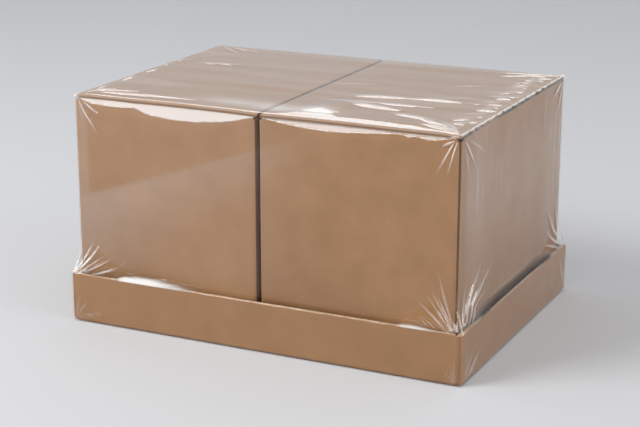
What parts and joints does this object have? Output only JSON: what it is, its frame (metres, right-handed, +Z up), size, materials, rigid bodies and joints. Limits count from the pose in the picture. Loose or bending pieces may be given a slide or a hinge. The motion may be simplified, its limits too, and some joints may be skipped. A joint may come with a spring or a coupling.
{
  "type": "shrink-wrapped carton bundle",
  "caption": "Brown corrugated tuck-top cartons standing in a shallow tray, bound into one bundle by tight clear shrink film with gathered corners.",
  "frame": {"origin": "middle of the underside of the wrapped tray", "axes": "+Z up; X along the row of cartons; -Y is the front, where the lids tuck in behind the front panels"},
  "size_m": [0.3962, 0.2922, 0.2192],
  "materials": {
    "carton_kraft": "matte",
    "tray_kraft": "matte",
    "clear_film": "gloss"
  },
  "bodies": {
    "root": {"tray": "tray_kraft", "carton_left": "carton_kraft", "carton_right": "carton_kraft", "shrink_film": "clear_film"}
  },
  "joints": []
}
